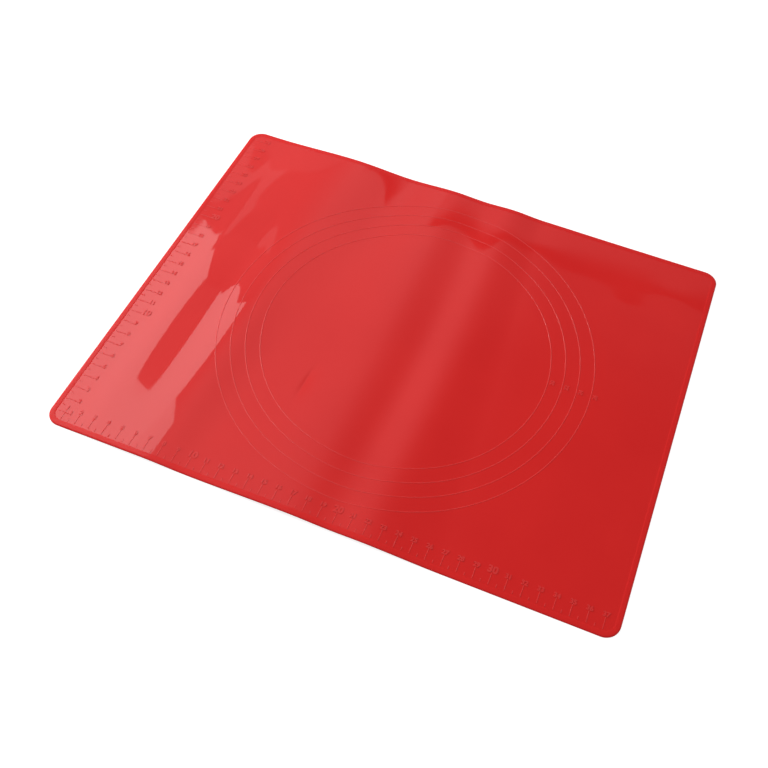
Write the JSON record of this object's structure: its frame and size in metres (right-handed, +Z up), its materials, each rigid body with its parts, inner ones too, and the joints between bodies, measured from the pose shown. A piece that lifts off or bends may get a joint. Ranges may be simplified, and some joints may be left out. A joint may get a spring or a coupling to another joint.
{
  "type": "silicone baking mat",
  "caption": "Thin rectangular silicone baking mat with rounded corners, a beaded edge, raised pastry rings and centimetre rulers, lying in soft waves.",
  "frame": {"origin": "on the worktop, under the middle of the mat", "axes": "+X along the long side to the right, +Y from the front edge to the back, +Z up"},
  "size_m": [0.38, 0.3, 0.0042],
  "materials": {
    "silicone": "smooth and glossy, red all through"
  },
  "bodies": {
    "root": {"mat_sheet": "silicone", "edge_bead": "silicone", "pastry_ring_20": "silicone", "pastry_ring_22": "silicone", "pastry_ring_24": "silicone", "pastry_ring_26": "silicone", "front_ruler": "silicone", "side_ruler": "silicone"}
  },
  "joints": []
}
